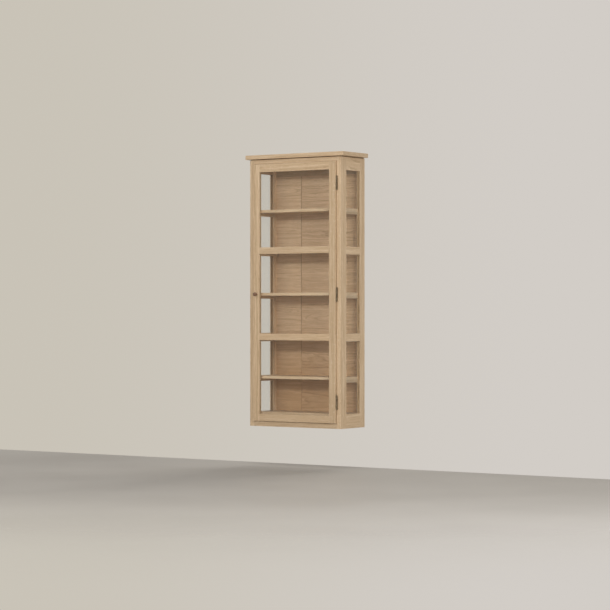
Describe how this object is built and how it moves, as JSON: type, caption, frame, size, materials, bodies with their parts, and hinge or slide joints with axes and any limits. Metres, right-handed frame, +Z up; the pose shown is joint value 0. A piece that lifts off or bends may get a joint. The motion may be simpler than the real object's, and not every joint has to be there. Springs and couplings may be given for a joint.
{
  "type": "wall mounted showcase",
  "caption": "Slim wall-hung display cabinet in oak with a glazed door, glazed sides and fixed shelves.",
  "frame": {"origin": "on the wall, midway between the two wall screws of the hanging rail", "axes": "+X towards the cabinet's right, +Y into the wall, +Z up; the door faces -Y"},
  "size_m": [0.65, 0.27, 1.5],
  "materials": {
    "oak": "oiled pale oak, satin",
    "back_oak": "oiled pale oak veneer, satin",
    "glass": "clear float glass",
    "knob_wood": "turned dark wood, oiled",
    "hinge_brass": "burnished dark brass",
    "steel": "nickel-plated steel",
    "magnet": "nickel-plated magnet",
    "bumper": "translucent soft pad"
  },
  "bodies": {
    "cabinet": {"back_board_centre": "back_oak", "back_board_left": "back_oak", "back_board_right": "back_oak", "bottom_board": "oak", "bottom_door_stop": "oak", "catch_magnet": "magnet", "door_bumpers": "bumper", "front_bottom_rail": "oak", "front_left_post": "oak", "front_right_post": "oak", "front_top_rail": "oak", "hanging_rail": "oak", "hinge_case_leaves": "hinge_brass", "hinge_case_screws": "hinge_brass", "hinge_pins": "hinge_brass", "left_bottom_pane": "glass", "left_glazing_beads": "oak", "left_middle_pane": "glass", "left_shelf_bearers": "oak", "left_side_bottom_rail": "oak", "left_side_lower_rail": "oak", "left_side_top_rail": "oak", "left_side_upper_rail": "oak", "left_top_pane": "glass", "rear_bottom_rail": "oak", "rear_left_post": "oak", "rear_right_post": "oak", "right_bottom_pane": "glass", "right_glazing_beads": "oak", "right_middle_pane": "glass", "right_shelf_bearers": "oak", "right_side_bottom_rail": "oak", "right_side_lower_rail": "oak", "right_side_top_rail": "oak", "right_side_upper_rail": "oak", "right_top_pane": "glass", "shelf_1": "oak", "shelf_2": "oak", "shelf_3": "oak", "shelf_4": "oak", "shelf_5": "oak", "top_board": "oak", "top_board_dowels": "oak", "top_door_stop": "oak"},
    "door": {"door_bottom_pane": "glass", "door_bottom_rail": "oak", "door_glazing_beads": "oak", "door_left_stile": "oak", "door_lower_rail": "oak", "door_middle_pane": "glass", "door_right_stile": "oak", "door_top_pane": "glass", "door_top_rail": "oak", "door_upper_rail": "oak", "knob": "knob_wood", "knob_bolt": "steel", "strike_plate": "steel", "strike_screw": "steel", "hinge_door_leaves": "hinge_brass", "hinge_door_screws": "hinge_brass"}
  },
  "joints": [
    {"name": "door_hinge", "type": "hinge", "parent": "cabinet", "child": "door", "pos_m": [0.28, -0.2422, -0.707], "axis": [0, 0, 1], "range_deg": [0, 170]}
  ]
}
